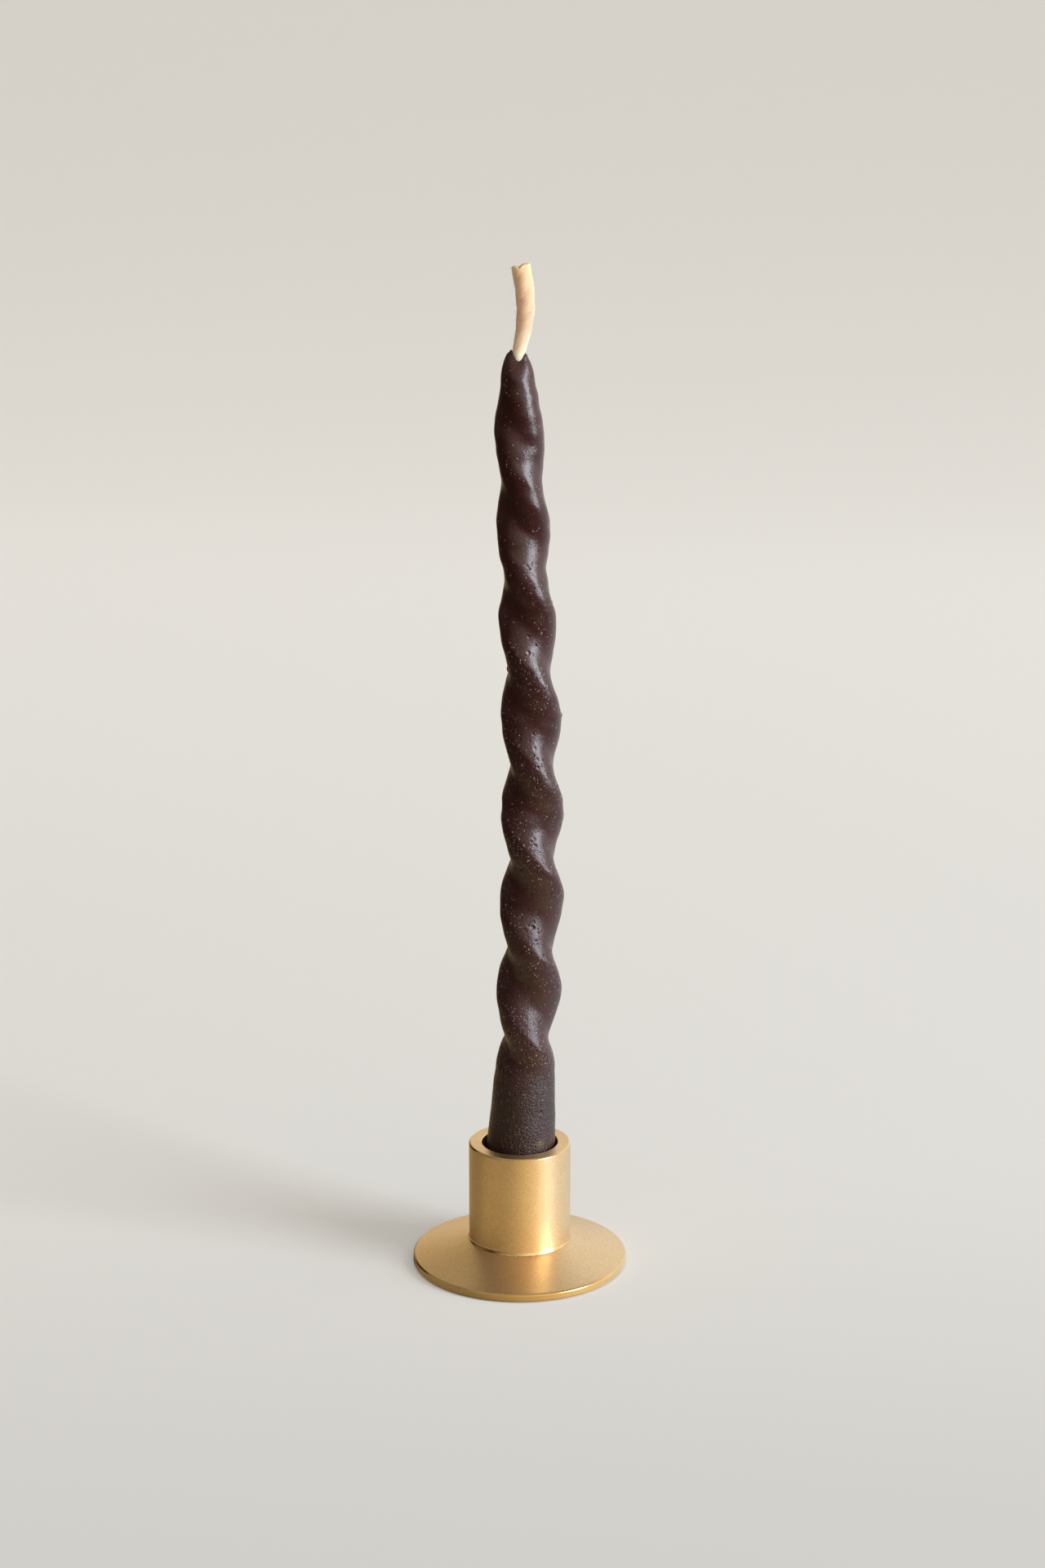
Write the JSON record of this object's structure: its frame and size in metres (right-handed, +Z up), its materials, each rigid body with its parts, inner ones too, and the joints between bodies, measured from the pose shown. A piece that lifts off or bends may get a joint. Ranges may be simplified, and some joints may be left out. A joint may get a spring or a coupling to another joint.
{
  "type": "candle holder with twisted candle",
  "caption": "Small round brass candle holder, a thick-walled cup on a low conical base, holding a slim dark twisted candle with a cotton wick that lifts out.",
  "frame": {"origin": "centre of the felt pad's underside, on the table", "axes": "+Z up along the cup's axis; the picture looks along +Y, with +X to the right, the side that the candle bows towards"},
  "size_m": [0.038, 0.038, 0.1759],
  "materials": {
    "satin_brass": "satin brass with a fine turned grain and polished edges",
    "dyed_wax": "moulded dark brown wax, soft satin gloss with small air pits",
    "waxed_cotton": "braided cotton wick, waxed and pale near the candle",
    "felt": "thin black felt",
    "plated_steel": "plated steel fastener"
  },
  "bodies": {
    "holder": {"base_plate": "satin_brass", "candle_cup": "satin_brass", "felt_pad": "felt", "cup_screw": "plated_steel", "cup_washer": "plated_steel"},
    "candle": {"candle_wax": "dyed_wax", "candle_wick": "waxed_cotton"}
  },
  "joints": [
    {"name": "candle_lift", "type": "slide", "parent": "holder", "child": "candle", "axis": [0, 0, 1], "range_m": [0, 0.016]}
  ]
}
